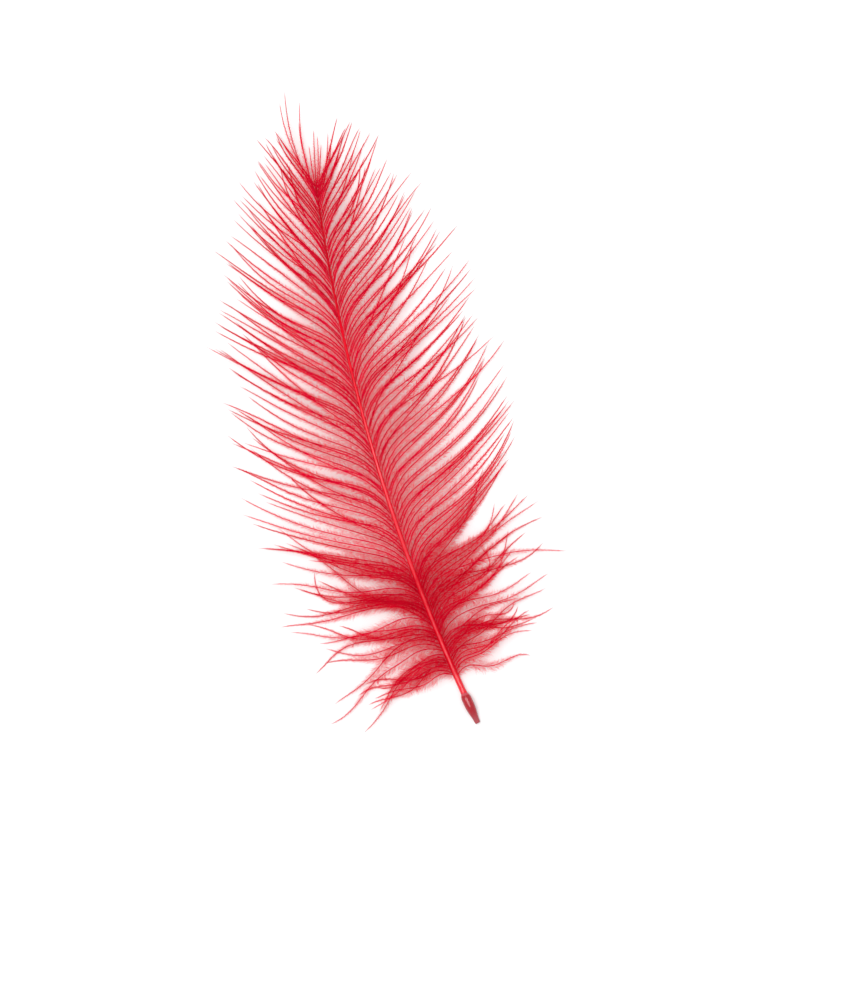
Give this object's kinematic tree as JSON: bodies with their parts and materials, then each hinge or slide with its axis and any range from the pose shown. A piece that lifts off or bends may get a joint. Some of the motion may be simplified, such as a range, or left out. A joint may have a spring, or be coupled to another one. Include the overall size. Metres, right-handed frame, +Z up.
{
  "type": "cul de canard feather",
  "caption": "Small loose duck feather with a short quill, a thin arched shaft, two vanes of fine soft barbs drawn together in pointed locks, and fluffy down at its base, lying flat.",
  "frame": {"origin": "middle of the feather's footprint, on the surface it lies on", "axes": "+Z up from the surface, +Y from the quill towards the tip, +X to the right seen from above"},
  "size_m": [0.0258, 0.0562, 0.003],
  "materials": {
    "vane": "fine barbs of dyed keratin, deep red, soft, with a faint sheen",
    "shaft": "smooth horny shaft, bright translucent red, glossy, paler and pinkish at the hollow quill",
    "down": "tangled downy fibres, red, matt"
  },
  "bodies": {
    "root": {"feather": "vane"}
  },
  "joints": []
}
